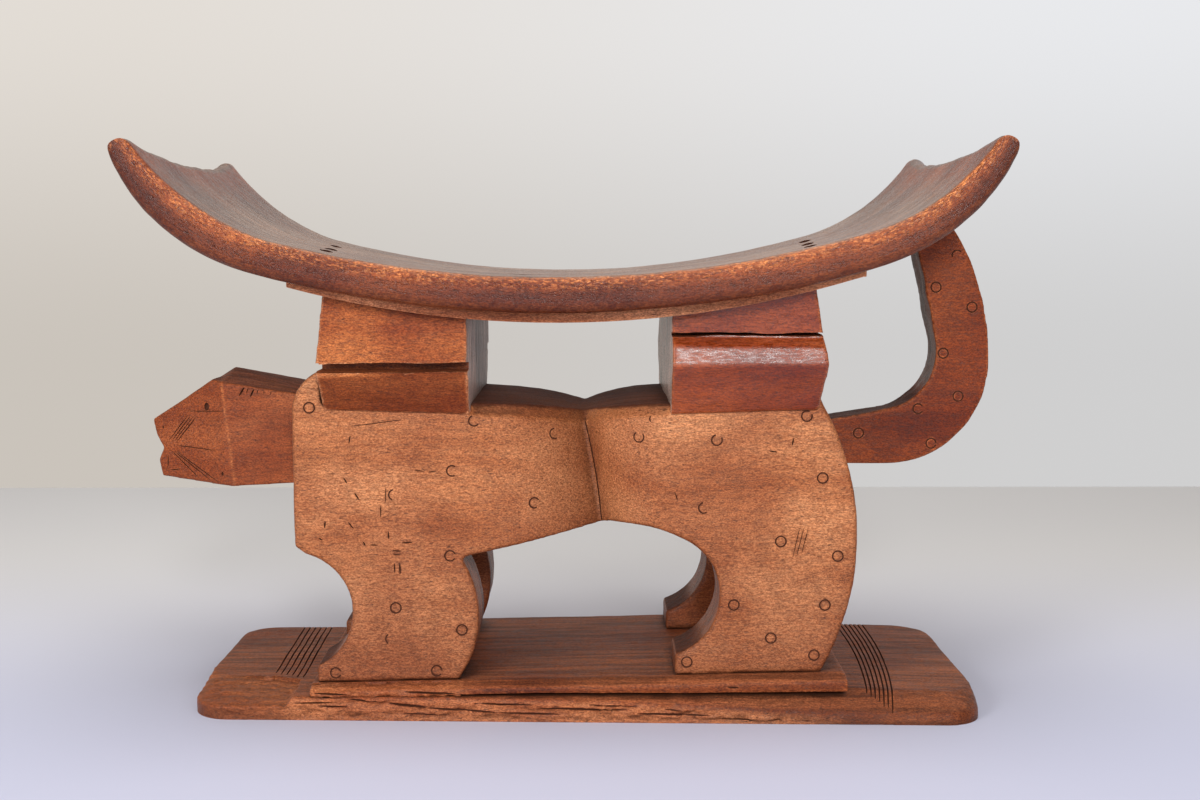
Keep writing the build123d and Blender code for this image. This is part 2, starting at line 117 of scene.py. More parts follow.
# Ring stamps: X and Z of the centre, and where only a part of the ring is cut, its arc in degrees
RING_RADIUS = 3.5
RING_LINE = 0.52  # half the width of the line
BODY_RINGS = [
    (-173.5, 209.4), (-64.5, 200.6, 60, 320), (-79.4, 167.1, 50, 300), (-118.2, 151, 100, 250),
    (-25, 144.1, 30, 300), (-81.3, 109.6, 20, 330), (-11.5, 189.8, 90, 300), (-118, 74.2),
    (-73.8, 59), (-159.1, 29.5, 20, 340), (-91, 30.8, 0, 320), (-121.6, 52.9, 120, 240),
    (45, 189.1, 120, 400), (55.6, 201.7, 150, 280), (96.8, 187.6, 100, 390), (156.5, 203.6, 60, 380),
    (167.7, 162), (88.5, 141.9, 100, 300), (140.2, 119.1), (178.6, 109.1), (109.1, 75.8), (170.4, 75.6),
    (134.3, 53), (163.5, 41.2), (77.7, 36.6),
]
TAIL_RINGS = [
    (255.7, 287), (281.4, 273), (261.8, 240.5), (273.1, 210), (244.9, 201.1, 30, 330), (203, 183.7),
    (254.7, 176.4, 0, 340), (270, 309.4, 40, 200),
]

# Knife cuts: X and Z of both ends, and the width
BODY_CUTS = [
    ((152.8, 128.9), (148.4, 108.5), 0.6), ((155.6, 128.5), (151, 109.5), 0.6),
    ((158.2, 127), (154.4, 111.5), 0.6), ((147.8, 189), (147, 184), 1.1), ((132, 180.2), (137, 179.6), 1),
    ((71, 147), (69, 152.5), 0.8), ((-151.4, 162.4), (-149.4, 158.6), 1.1),
    ((-144.4, 152.4), (-141.4, 147.4), 1.2), ((-164.3, 133.4), (-164.8, 128.6), 1.3),
    ((-149, 132.6), (-145.6, 128.2), 1), ((-168.8, 122), (-166.6, 120.4), 1.2),
    ((-139.2, 119.4), (-137.8, 116.6), 1.2), ((-134.5, 117.2), (-129.5, 117), 1),
    ((-122.3, 126.4), (-122, 121), 1), ((-119.8, 113.2), (-113.8, 112.9), 0.9),
    ((-119, 110.6), (-114.4, 110.3), 0.8), ((-118.6, 104.6), (-118.4, 98.2), 0.9),
    ((-115, 104.8), (-114.8, 97.2), 1.3), ((-113.5, 118.4), (-106.5, 118.9), 1),
    ((-123.6, 156), (-123.9, 146), 0.7), ((-127, 144), (-127.3, 136), 0.8),
    ((-95, 166.4), (-89.5, 166.6), 0.8), ((-104, 167.4), (-98.5, 166.9), 0.8),
    ((-146.6, 190.8), (-147.6, 185), 0.9), ((-146, 197), (-112, 201.5), 0.6),
]
HEAD_CUTS = [
    ((-268.3, 201.6), (-239.8, 202.6), 0.6), ((-276.4, 177.2), (-246, 175.1), 0.7),
    ((-282.6, 180.4), (-267.2, 198.9), 0.7), ((-280.4, 180), (-265.2, 198.6), 0.8),
    ((-278.4, 179.9), (-262.9, 198.3), 0.7), ((-276.4, 179.8), (-260.9, 197.9), 0.9),
    ((-280.8, 173.2), (-259.5, 154.6), 0.8), ((-278.8, 173), (-251, 154), 0.8),
    ((-276.6, 172.6), (-245.6, 153.4), 0.8), ((-283.6, 170.2), (-284, 161.8), 0.8),
    ((-282.6, 159.4), (-275, 160.4), 0.7), ((-225, 219.4), (-228.6, 213.4), 1.5),
    ((-222.2, 219), (-223.6, 215.4), 0.7), ((-218.4, 218.2), (-221, 212.6), 1.4),
    ((-215.6, 217.8), (-216.6, 214.4), 0.7), ((-211.4, 217), (-211.8, 214.6), 0.6),
    ((-206.8, 216.3), (-207.2, 214), 0.6),
]
PLINTH_CRACKS = [
    ((-112, 19.4), (-78, 18), 1.6), ((-172, 18.4), (-150, 17.6), 1.3), ((104, 22.5), (112, 22), 1.4),
]
HEAD_PITS = [(-252.6, 205.4, 2.6), (-241.7, 159.2, 1.3), (-287, 189.4, 0.9)]  # X, Z and radius
CHEEK_RIDGE = ((151, -233), (224, -241))  # Z and X of both ends
CHEEK_Y = 36  # the cheeks lie beyond this Y

# Plank: limits along the stool, reach to both sides, and level of its top at stops along X
PLANK_GRID = (399, 143, 11)
PLANK_X = (-257, 275)
PLANK_LEFT = ((-258, 89.5), (278, 107))
PLANK_RIGHT = ((-258, 107.5), (278, 103.5))
PLANK_CORNER = 26.0
PLANK_TOP = ((-258, 15), (185, 18.7), (278, 16))
TOP_EDGE_ROUNDING = 5.0
# Its worn near side: level of the edge, width of the slope above it, and the step where a chip broke off
NEAR_EDGE = ((-258, 9), (-192, 9.5), (-188, 14.4), (-75, 15), (20, 13.3), (79, 9.7),
             (131, 5), (172, 3), (278, 4))
NEAR_SLOPE = ((-258, 50), (-209, 50), (-190, 40), (-187, 3), (-75, 3), (20, 12), (131, 20), (278, 24))
NEAR_STEP = ((-258, 0), (-242, 0), (-230, 0.9), (-209, 2.6), (-190, 2.8), (-187, 0), (278, 0))
NEAR_ROUGH = ((-258, 0.4), (-195, 0.5), (-186, 1.3), (140, 1.3), (185, 0.2), (278, 0.1))
# How much the near side is darkened towards the tail end, at stops along X
NEAR_DARKENING = ((60, 0), (150, 0.38), (278, 0.34))
CHIP_X = -188  # the chip broke off from the head end up to here
FAR_EDGE = 9.0
FAR_SLOPE = 13.0
# Bands of saw cuts: X of the band's middle, number of cuts, pitch, and reach in Y
HEAD_BAND = (-201.8, 6, 4.25, (-34, 103))
TAIL_BAND = (217.5, 7, 3.1, (-88, 99))
SAW_WIDTH = (0.6, 1.9)  # at the bottom of a cut, and above it
SAW_DEPTH = 1.5
# Plinth: how much of its near edge is broken, at stops along X; how far in; and where its near face is
PLINTH_ROUGH = ((-176, 1), (-84, 1), (-66, 0), (185, 0))
PLINTH_BROKEN_Y = -84
PLINTH_FACE_Y = -88
# Drying cracks in the plank's near side, given like the knife cuts
CRACKS = [
    ((-150, 14.6), (-124, 12.6), 1.3), ((-122, 12), (-97, 9.4), 2), ((-96, 9), (-50, 6.4), 1.6),
    ((-48, 6.2), (-8, 5.2), 1.2), ((-170, 9.6), (-150, 9.2), 1.1), ((-66, 12.2), (-26, 11.6), 1.5),
    ((-22, 9.4), (38, 8.4), 1.5), ((12, 11.8), (44, 10.8), 1.2), ((44, 6.4), (92, 5.2), 1.5),
    ((98, 3.2), (140, 2.6), 1.1), ((-112, 5), (-84, 4.2), 0.9), ((62, 9), (80, 8.2), 1),
    ((-186, 11.6), (-160, 11.9), 1.2),
]


# ---------------- mesh helpers
def at_stops(x, stops):
    """A value that runs straight between stops, given as pairs of place and value."""
    for (x0, value0), (x1, value1) in zip(stops, stops[1:]):
        if x <= x1:
            return value0 + (value1 - value0) * max(0.0, x - x0) / (x1 - x0)
    return stops[-1][1]


def ripple(x, y, z):
    """Smooth noise between -1 and 1; the lengths say how far apart its waves are."""
    return noise.noise(Vector((x, y, z)))


def new_piece(name, bm):
    """A new object from a bmesh, in metres."""
    mesh = bpy.data.meshes.new(name)
    bm.to_mesh(mesh)
    bm.free()
    piece = bpy.data.objects.new(name, mesh)
    bpy.context.scene.collection.objects.link(piece)
    return piece


def copy_of(piece):
    bm = bmesh.new()
    bm.from_mesh(piece.data)
    return bm


def edit(piece, work):
    """Run some bmesh work on a piece."""
    bm = copy_of(piece)
    work(bm)
    bm.to_mesh(piece.data)
    bm.free()


def cad_bmesh(*nodes):
    """The CAD solids of some nodes, merged from their loose triangles."""
    bm = bmesh.new()
    for node in nodes:
        bm.from_mesh(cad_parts[node].data)
    bmesh.ops.remove_doubles(bm, verts=bm.verts, dist=2e-6)
    return bm


def settle(piece):
    """Make the modifiers of a piece part of its mesh."""
    graph = bpy.context.evaluated_depsgraph_get()
    mesh = bpy.data.meshes.new_from_object(piece.evaluated_get(graph))
    piece.modifiers.clear()
    piece.data = mesh


def combine(piece, other, operation):
    """Join or cut a piece with another, which is used up."""
    step = piece.modifiers.new(operation, "BOOLEAN")
    step.operation = operation
    step.object = other
    step.solver = "EXACT"
    settle(piece)
    bpy.data.objects.remove(other)


def material_slots(piece):
    """The two material slots of a piece: for its surface, and for the walls of what is cut into it."""
    slots = piece.data.materials
    while len(slots) < 2:
        slots.append(None)
    return slots


def carve_away(piece, bm):
    """Cut a piece with a bmesh, which is used up; the walls of the cut take the piece's second material."""
    bmesh.ops.recalc_face_normals(bm, faces=bm.faces)
    for face in bm.faces:
        face.material_index = 1
    material_slots(piece)
    combine(piece, new_piece("cutter", bm), "DIFFERENCE")


def cad_mass(name, *nodes):
    """CAD solids joined into one."""
    piece = new_piece(name, cad_bmesh(nodes[0]))
    for node in nodes[1:]:
        combine(piece, new_piece(node + "_part", cad_bmesh(node)), "UNION")
    return piece


def even_mesh(piece, voxel):
    step = piece.modifiers.new("even", "REMESH")
    step.mode = "VOXEL"
    step.voxel_size = voxel * MM
    settle(piece)


def wear(piece, against, marks, rounds=2, voxel=VOXEL):
    """Give a mass an even mesh, worn edges and tool marks, but keep it tight against its neighbours."""
    even_mesh(piece, voxel)
    bm = copy_of(piece)
    contact = BVHTree.FromBMesh(cad_bmesh(*against))
    loose = [vert for vert in bm.verts if contact.find_nearest(vert.co, CONTACT * MM)[0] is None]
    for _ in range(rounds):
        bmesh.ops.smooth_vert(bm, verts=loose, factor=0.5, use_axis_x=True, use_axis_y=True, use_axis_z=True)
    hew(bm, loose, marks)
    bm.to_mesh(piece.data)
    bm.free()


def hew(bm, verts, marks):
    """Shallow tool marks: the surface sinks and rises, in strokes longer along the grain."""
    for depth, stroke, side_share in marks:
        bm.normal_update()
        moves = []
        for vert in verts:
            at = Vector((vert.co.x / ALONG_GRAIN, vert.co.y, vert.co.z)) / (stroke * MM)
            share = 1 - (1 - side_share) * abs(vert.normal.y)
            moves.append((vert, vert.normal * (noise.noise(at) * depth * share * MM)))
        for vert, move in moves:
            vert.co += move


def split_off(piece, name, point, direction, kind="seam"):
    """Cut a piece by a plane: what lies behind it becomes a new piece, and both are closed."""
    edit(piece, lambda bm: note_seam(bm, point, direction, kind))
    behind = new_piece(name, copy_of(piece))
    edit(piece, lambda bm: cut(bm, point, direction, clear_inner=True))
    edit(behind, lambda bm: cut(bm, point, direction, clear_outer=True))
    return behind


def note_seam(bm, point, direction, kind):
    """Mark the wood along a dividing plane: at a seam it just runs on, at a crease it darkens with painted
    shade, partly a dark stain.
    """
    layer = bm.verts.layers.float.get(kind) or bm.verts.layers.float.new(kind)
    for vert in bm.verts:
        ahead = (vert.co / MM - Vector(point)).dot(Vector(direction).normalized())
        if kind == "seam":
            value = 1 - abs(ahead) / SEAM_REACH
        elif ahead < 0:
            value = 0.35 * (1 + ahead / CREASE_SHADE_BEHIND)
        else:
            value = 0.78 * max(0.0, 1 - ahead / CREASE_SHADE_AHEAD) ** 1.5
        vert[layer] = max(vert[layer], value)


def cut(bm, point, direction, **cleared):
    whole = bm.verts[:] + bm.edges[:] + bm.faces[:]
    found = bmesh.ops.bisect_plane(bm, geom=whole, plane_co=Vector(point) * MM, plane_no=direction, **cleared)
    rim = [item for item in found["geom_cut"] if isinstance(item, bmesh.types.BMEdge)]
    bmesh.ops.edgeloop_fill(bm, edges=rim)


def keep_side(bm, sign):
    """Keep only the parts on one side of the middle plane."""
    others = [vert for vert in bm.verts if vert.co.y * sign < 0]
    bmesh.ops.delete(bm, geom=others, context="VERTS")


def hull(*corners):
    """The solid spanned by some corners, in millimetres, and by their mirror images across the stool."""
    bm = bmesh.new()
    for x, y, z in corners:
        bm.verts.new(Vector((x, y, z)) * MM)
        bm.verts.new(Vector((x, -y, z)) * MM)
    bmesh.ops.convex_hull(bm, input=bm.verts)
    bmesh.ops.recalc_face_normals(bm, faces=bm.faces)
    return bm


def running(bm, axis, share=0.9):
    """The edges that run along an axis."""
    return [edge for edge in bm.edges
            if abs((edge.verts[1].co - edge.verts[0].co)[axis]) > share * edge.calc_length()]


def unit_cube():
    bm = bmesh.new()
    bmesh.ops.create_cube(bm, size=1)
    return bm


def unit_bar(axis, cuts):
    """A unit cube divided along one axis."""
    bm = unit_cube()
    bmesh.ops.subdivide_edges(bm, edges=running(bm, axis), cuts=cuts)
    return bm


def fine_block(cuts):
    """A unit cube with a fine grid of faces; cuts are along X, Y and Z."""
    bm = unit_cube()
    for axis in (1, 2, 0):
        bmesh.ops.subdivide_edges(bm, edges=running(bm, axis), cuts=cuts[axis], use_grid_fill=True)
    return bm


def round_edges(bm, edges, radius, segments):
    bmesh.ops.bevel(
        bm, geom=edges, offset=radius, segments=segments, profile=0.5, affect="EDGES", material=-1)


def shade(piece):
    """Smooth shading, with the sharp edges kept."""
    for polygon in piece.data.polygons:
        polygon.use_smooth = True
    piece.data.set_sharp_from_angle(angle=math.radians(SHARP_ANGLE))


# ---------------- cut marks
def surface_of(piece):
    return BVHTree.FromBMesh(copy_of(piece))


def surface_at(surface, x, z, side=-1):
    """Where a line across the stool first meets a surface from one side, and where the surface faces."""
    outside = 400 * side
    point, normal, _, _ = surface.ray_cast(Vector((x, outside, z)) * MM, Vector((0, -side, 0)))
    return point, normal


def knife_cutter(bm, surface, side, start, end, width):
    """A knife cut between two points given by X and Z: as deep as it is wide, and thin at its ends."""
    a, normal_a = surface_at(surface, *start, side)
    b, normal_b = surface_at(surface, *end, side)
    along = (b - a).normalized()
    across = along.cross(normal_a + normal_b).normalized()
    turn = Matrix((across, along.cross(across), along)).transposed().to_4x4()
    size = Matrix.Diagonal((0.5 * width * MM, 1.1 * width * MM, (b - a).length / 2, 1))
    bmesh.ops.create_uvsphere(
        bm, u_segments=6, v_segments=8, radius=1, matrix=Matrix.Translation((a + b) / 2) @ turn @ size)


def crease_cutter(surface, bottom, top, bow, width, depth):
    """A thin wedge that follows a surface up a bowed line, given by X and Z, and runs out past its ends."""
    blade = unit_bar(2, 29)
    for vert in blade.verts:
        share = 1.16 * vert.co.z + 0.5
        on_line = min(1.0, max(0.0, share))
        bowed = bow * 4 * on_line * (1 - on_line)
        x = bottom[0] + (top[0] - bottom[0]) * share + bowed
        z = bottom[1] + (top[1] - bottom[1]) * share
        face_x = bottom[0] + (top[0] - bottom[0]) * on_line + bowed
        point, _ = surface_at(surface, face_x, bottom[1] + (top[1] - bottom[1]) * on_line)
        if vert.co.y > 0:
            place = (x + vert.co.x * width * 0.3, point.y / MM + depth, z)
        else:
            place = (x + vert.co.x * width * 1.6, point.y / MM - depth, z)
        vert.co = Vector(place) * MM
    return blade


def pit_cutter(bm, surface, side, x, z, radius):
    point, _ = surface_at(surface, x, z, side)
    place = Matrix.Translation(point) @ Matrix.Diagonal((0.8, 0.8, 1.1, 1))
    bmesh.ops.create_icosphere(bm, subdivisions=2, radius=radius * MM, matrix=place)


def ring_cutter(bm, point, normal, from_angle=0, to_angle=360):
    """A ring stamp: a thin round wire bent to a circle, or to part of one."""
    start, end = math.radians(from_angle), math.radians(to_angle)
    turn = normal.to_track_quat("Z", "Y").to_matrix().to_4x4()
    place = Matrix.Translation(point) @ turn
    side = Vector((math.cos(start), math.sin(start), 0)) * RING_RADIUS * MM
    full = to_angle - from_angle >= 360
    section = bmesh.ops.create_circle(bm, cap_ends=not full, segments=8, radius=RING_LINE * MM)["verts"]
    stand = Matrix.Translation(side) @ Matrix.Rotation(start, 4, "Z") @ Matrix.Rotation(math.pi / 2, 4, "X")
    bmesh.ops.transform(bm, matrix=place @ stand, verts=section)
    edges = list({edge for vert in section for edge in vert.link_edges})
    faces = list({face for vert in section for face in vert.link_faces})
    steps = max(6, round((end - start) / math.radians(15)))
    bmesh.ops.spin(
        bm, geom=section + edges + faces, cent=place @ Vector((0, 0, 0)),
        axis=place.to_3x3() @ Vector((0, 0, 1)), angle=end - start, steps=steps, use_merge=full)


def mark(piece, rings=(), cuts=(), pits=(), sides=(-1,)):
    """Cut ring stamps, knife cuts and round pits into one side of a piece, or into both."""
    bm = bmesh.new()
    surface = surface_of(piece)
    for side in sides:
        for x, z, *arc in rings:
            ring_cutter(bm, *surface_at(surface, x, z, side), *arc)
        for line in cuts:
            knife_cutter(bm, surface, side, *line)
        for pit in pits:
            pit_cutter(bm, surface, side, *pit)
    carve_away(piece, bm)


# ---------------- materials
def node(tree, kind, **settings):
    made = tree.nodes.new(kind)
    for key, value in settings.items():
        setattr(made, key, value)
    return made


def plug(value, socket):
    """Set a socket to a number, a colour or numbers for its axes, or link an output to it."""
    if isinstance(value, bpy.types.NodeSocket):
        socket.id_data.links.new(value, socket)
    elif isinstance(value, tuple) and len(socket.default_value) == 4:
        socket.default_value = (*value, 1)
    else:
        socket.default_value = value


def step(kind, inputs, output=0, **settings):
    """A node beside the ones that feed it; gives one of its outputs."""
    tree = next(value.id_data for value in inputs.values() if isinstance(value, bpy.types.NodeSocket))
    made = node(tree, kind, **settings)
    for name, value in inputs.items():
        plug(value, made.inputs[name])
    return made.outputs[output]


def math_node(operation, a, b, clamp=False):
    return step("ShaderNodeMath", {0: a, 1: b}, operation=operation, use_clamp=clamp)


def times(a, b, clamp=False):
    return math_node("MULTIPLY", a, b, clamp)


def stretch(value, low, high, out_low=0.0, out_high=1.0):
    """A value that runs smoothly from out_low to out_high while the given one goes from low to high."""
    limits = {"From Min": low, "From Max": high, "To Min": out_low, "To Max": out_high}
    return step(
        "ShaderNodeMapRange", {"Value": value, **limits}, "Result",
        clamp=True, interpolation_type="SMOOTHSTEP")


def mix_color(factor, a, b):
    return step("ShaderNodeMix", {"Factor": factor, 6: a, 7: b}, 2, data_type="RGBA")


def scaled(color, factor):
    return step("ShaderNodeVectorMath", {0: color, "Scale": factor}, operation="SCALE")


def tinted(color, tint):
    """A colour multiplied by another, or coordinates squeezed by shares of their axes."""
    return step("ShaderNodeVectorMath", {0: color, 1: tint}, operation="MULTIPLY")


def laid_over(tone, color, factor, strength):
    """A tone with a colour over it, where the factor is high."""
    return mix_color(times(factor, strength), tone, color)


def toned(color, share):
    return tuple(share * channel for channel in color)


def noise_value(vector, scale, detail, roughness):
    inputs = {"Vector": vector, "Scale": scale, "Detail": detail, "Roughness": roughness}
    return step("ShaderNodeTexNoise", inputs, "Fac")


def object_place(tree):
    return node(tree, "ShaderNodeTexCoord").outputs["Object"]


def parts_of(vector):
    made = node(vector.id_data, "ShaderNodeSeparateXYZ")
    plug(vector, made.inputs[0])
    return made.outputs


def attribute(tree, name, kind="Fac"):
    """A value that the mesh carries at its vertices."""
    return node(tree, "ShaderNodeAttribute", attribute_name=name).outputs[kind]


def new_group(name, inputs, outputs):
    """A node group, its inputs and its outputs. An input is given with its value, or None for coordinates."""
    tree = bpy.data.node_groups.new(name, "ShaderNodeTree")
    for word, value in inputs.items():
        kind = "NodeSocketVector" if value is None else "NodeSocketFloat"
        socket = tree.interface.new_socket(name=word, in_out="INPUT", socket_type=kind)
        if value is not None:
            socket.default_value = value
    for word in outputs:
        tree.interface.new_socket(name=word, in_out="OUTPUT", socket_type="NodeSocketFloat")
    return tree, node(tree, "NodeGroupInput").outputs, node(tree, "NodeGroupOutput").inputs


# Noise of the grain: shares of the axes, scale, detail, roughness, and the stretch of its values
GRAIN_NOISE = {
    "Bands": ((0.07, 0.7, 1.0), (75, 4, 0.6), (0.36, 0.64)),
    "Speckle": ((0.5, 1.0, 1.0), (1350, 2, 0.75), (0.34, 0.66)),
    "Flecks": ((0.2, 1.0, 1.0), (760, 3, 0.7), (0.36, 0.64)),
    "Mottle": ((0.5, 0.8, 1.0), (24, 3, 0.5), (0.35, 0.7)),
    "Long lines": ((0.05, 1.0, 1.0), (210, 5, 0.65), (0.36, 0.64)),
    "Clouds": ((1.0, 1.0, 1.0), (11, 2, 0.5), (0.36, 0.64)),
    "Blotches": ((0.45, 1.0, 1.0), (620, 4, 0.8), (0.36, 0.64)),
    "Streaks": ((0.3, 0.3, 0.05), (420, 4, 0.7), (0.36, 0.64)),
}


def grain_group():
    """Wood grain along X, from wide bands and long lines to speckle and pores; streaks for the end grain."""
    tree, given, out = new_group("wood grain", {"Place": None, "Pore density": 0.5}, ("Pores", *GRAIN_NOISE))
    place = given["Place"]
    for name, (shares, pattern, limits) in GRAIN_NOISE.items():
        value = noise_value(tinted(place, shares), *pattern)
        plug(stretch(value, *limits), out[name])
    pore = noise_value(tinted(place, (0.25, 1.0, 1.0)), 1000, 1, 0.5)
    limit = math_node("SUBTRACT", 0.70, times(given["Pore density"], 0.12))
    over = math_node("SUBTRACT", pore, limit)
    plug(times(over, 12, clamp=True), out["Pores"])
    return tree


def wear_and_shade_group():
    """Where wood is worn bright, where painted shade darkens recesses, what is end grain, which way it faces,
    what lies low.
    """
    tree, given, out = new_group(
        "wear and painted shade", {"Shade reach": 0.02},
        ("Worn edge", "Recess shade", "End grain", "Sideways", "Upward", "Downward", "Low"))
    shape = node(tree, "ShaderNodeNewGeometry").outputs
    place = object_place(tree)
    facing = parts_of(shape["Normal"])
    # Recesses that ambient occlusion finds, for the painted shade
    shelter = step("ShaderNodeAmbientOcclusion", {"Distance": given["Shade reach"]}, "AO", samples=6)
    for name, value, low, high in (
            ("Recess shade", shelter, 0.75, 0.25),
            ("End grain", math_node("ABSOLUTE", facing["X"], 0), 0.72, 0.9),
            ("Upward", facing["Z"], 0.55, 0.85),
            ("Downward", facing["Z"], -0.1, -0.6),
            ("Low", parts_of(place)["Z"], 0.15, 0.03)):
        plug(stretch(value, low, high), out[name])
    plug(math_node("ABSOLUTE", facing["Y"], 0), out["Sideways"])
    patchy = stretch(noise_value(place, 260, 4, 0.75), 0.36, 0.6)
    edge = stretch(shape["Pointiness"], 0.508, 0.545)
    plug(times(edge, patchy), out["Worn edge"])
    return tree


GRAIN = grain_group()
WEAR_AND_SHADE = wear_and_shade_group()
PORE = (0.05, 0.014, 0.006)
# The tone of the painted shade in recesses
RECESS_SHADE = (0.022, 0.008, 0.004)


def new_material(name):
    """A new material, with its nodes and its shader."""
    material = bpy.data.materials.new(name)
    material.use_nodes = True
    tree = material.node_tree
    return material, tree, tree.nodes["Principled BSDF"]


def carved_wood(
        name, main, light, dark, top, end, edge=(0.62, 0.25, 0.11), low=(1, 1, 1), rough=None, rim=None,
        gloss=0.42, top_gloss=0.75, shine=0.25, relief=0.4, recess_shade=0.85, under=0.35):
    """A satin hardwood of the log, with its own tones.
    top is for faces that look up, holding painted shade on the body's back and a painted reflection on the
    seat, end for end grain, edge for worn edges, low for painted shade on what lies near the floor, rough for
    broken or rubbed wood, rim for the flecks at a seat's edge, worn wood with a painted highlight; under is
    how much painted shade darkens undersides, and the argument before it how much painted shade darkens
    recesses."""
    material, tree, shader = new_material(name)
    place = attribute(tree, "flow", "Vector") if rim else object_place(tree)
    grained_wood = node(tree, "ShaderNodeGroup", node_tree=GRAIN)
    plug(place, grained_wood.inputs["Place"])
    grain = grained_wood.outputs
    wear = node(tree, "ShaderNodeGroup", node_tree=WEAR_AND_SHADE).outputs

    tone = mix_color(grain["Bands"], dark, main)
    tone = mix_color(grain["Mottle"], tone, light)
    lined = mix_color(grain["Long lines"], toned(top, 0.55), toned(top, 1.4))
    if rim:
        raised = attribute(tree, "near_tip")
        # The painted reflection in the seat's top tone fades towards the tips
        lined = scaled(lined, stretch(raised, 0.1, 0.9, 1.0, 0.5))
    # Faces that look up take the top tone, which holds painted shade on the body's back and a painted
    # reflection on the seat
    tone = laid_over(tone, lined, wear["Upward"], 0.88)
    streaked = mix_color(grain["Streaks"], toned(end, 0.4), toned(end, 1.5))
    tone = laid_over(tone, streaked, wear["End grain"], 0.9)
    if rough:
        tone = mix_color(attribute(tree, "rough"), tone, rough)
    if rim:
        below = attribute(tree, "below_rim")
        aside = stretch(wear["Sideways"], 0.25, 0.6)
        # Painted shade on the lower half of the seat's near face, stronger towards the tips
        lower = times(stretch(below, 0.25, 0.6), aside)
        tone = laid_over(tone, toned(dark, 0.75), lower, stretch(raised, 0.0, 0.7, 0.6, 1.0))
        # Flecks on the upper half of the near face: worn wood with a painted highlight
        upper = times(stretch(below, 0.5, 0.1), aside)
        tone = laid_over(tone, rim, upper, stretch(grain["Blotches"], 0.56, 0.84))
    # Painted shade on faces that look down
    tone = laid_over(tone, toned(dark, 0.7), wear["Downward"], under)
    crease = attribute(tree, "crease")
    joined = stretch(math_node("MAXIMUM", attribute(tree, "seam"), crease), 0.05, 0.3)
    apart = math_node("SUBTRACT", 0.8, joined, clamp=True)
    tone = laid_over(tone, edge, wear["Worn edge"], apart)
    # Painted shade beside the waist crease, partly a dark stain; the same layer darkens the plank's near side
    # towards the tail end
    tone = laid_over(tone, toned(dark, 0.45), crease, 0.85)
    tone = tinted(tone, mix_color(grain["Speckle"], (0.64, 0.54, 0.45), (1.32, 1.43, 1.40)))
    tone = scaled(tone, stretch(grain["Flecks"], 0, 1, 0.80, 1.18))
    tone = tinted(tone, mix_color(grain["Clouds"], (0.83, 0.74, 0.72), (1.12, 1.17, 1.24)))
    # Painted shade on what lies near the floor, where the low tint is not white
    tone = tinted(tone, mix_color(wear["Low"], (1, 1, 1), low))
    tone = laid_over(tone, PORE, grain["Pores"], 0.65)
    # Painted shade in recesses, found by ambient occlusion
    tone = laid_over(tone, RECESS_SHADE, wear["Recess shade"], recess_shade)
    plug(tone, shader.inputs["Base Color"])

    polish = stretch(grain["Flecks"], 0, 1, gloss - 0.08, gloss + 0.12)
    dull = stretch(wear["Upward"], 0, 1, 0, top_gloss - gloss)
    plug(math_node("ADD", polish, dull), shader.inputs["Roughness"])
    plug(shine, shader.inputs["Specular IOR Level"])
    height = math_node("SUBTRACT", grain["Speckle"], grain["Pores"])
    bump = step("ShaderNodeBump", {"Height": height, "Strength": relief, "Distance": 0.0003})
    plug(bump, shader.inputs["Normal"])
    return material


def plain_dark(name, color):
    """The dark of a cut line or a slot, a little uneven."""
    material, tree, shader = new_material(name)
    cloud = noise_value(object_place(tree), 300, 3, 0.6)
    plug(mix_color(cloud, color, toned(color, 2.2)), shader.inputs["Base Color"])
    plug(0.8, shader.inputs["Roughness"])
    plug(0.2, shader.inputs["Specular IOR Level"])
    return material


# The body's dark top tone is painted shade where the seat overhangs its back, and its low tint is painted
# shade towards the floor
BODY_WOOD = carved_wood(
    "body_wood", main=(0.41, 0.136, 0.048), light=(0.51, 0.195, 0.078), dark=(0.33, 0.096, 0.030),
    top=(0.100, 0.030, 0.016), end=(0.34, 0.110, 0.045), edge=(0.24, 0.07, 0.022), low=(0.60, 0.50, 0.47))
HEAD_WOOD = carved_wood(
    "head_wood", main=(0.26, 0.054, 0.011), light=(0.33, 0.088, 0.026), dark=(0.20, 0.036, 0.006),
    top=(0.20, 0.064, 0.032), end=(0.28, 0.07, 0.02), edge=(0.20, 0.05, 0.014), rough=(0.52, 0.155, 0.045))
# The tail's tones are a little darker, partly painted shade from the seat over its upper part and partly dark
# stains
TAIL_WOOD = carved_wood(
    "tail_wood", main=(0.205, 0.032, 0.004), light=(0.28, 0.056, 0.011), dark=(0.15, 0.021, 0.003),
    top=(0.13, 0.075, 0.06), end=(0.17, 0.10, 0.08), edge=(0.40, 0.11, 0.035))
FRONT_POST_WOOD = carved_wood(
    "front_post_wood", main=(0.33, 0.076, 0.016), light=(0.43, 0.12, 0.030), dark=(0.24, 0.043, 0.007),
    top=(0.24, 0.060, 0.016), end=(0.36, 0.26, 0.22), under=0.85)
REAR_POST_WOOD = carved_wood(
    "rear_post_wood", main=(0.255, 0.033, 0.001), light=(0.34, 0.062, 0.008), dark=(0.17, 0.017, 0.001),
    top=(0.34, 0.09, 0.03), end=(0.40, 0.265, 0.205), edge=(0.46, 0.13, 0.04),
    gloss=0.33, shine=0.65, relief=0.14, under=0.1)
# The walls of the post slots: a darker wood that is painted shade in the recesses
SLOT_WOOD = carved_wood(
    "slot_wood", main=(0.15, 0.034, 0.008), light=(0.24, 0.056, 0.014), dark=(0.08, 0.016, 0.004),
    top=(0.20, 0.045, 0.012), end=(0.10, 0.03, 0.01), edge=(0.30, 0.08, 0.02), recess_shade=0.25)
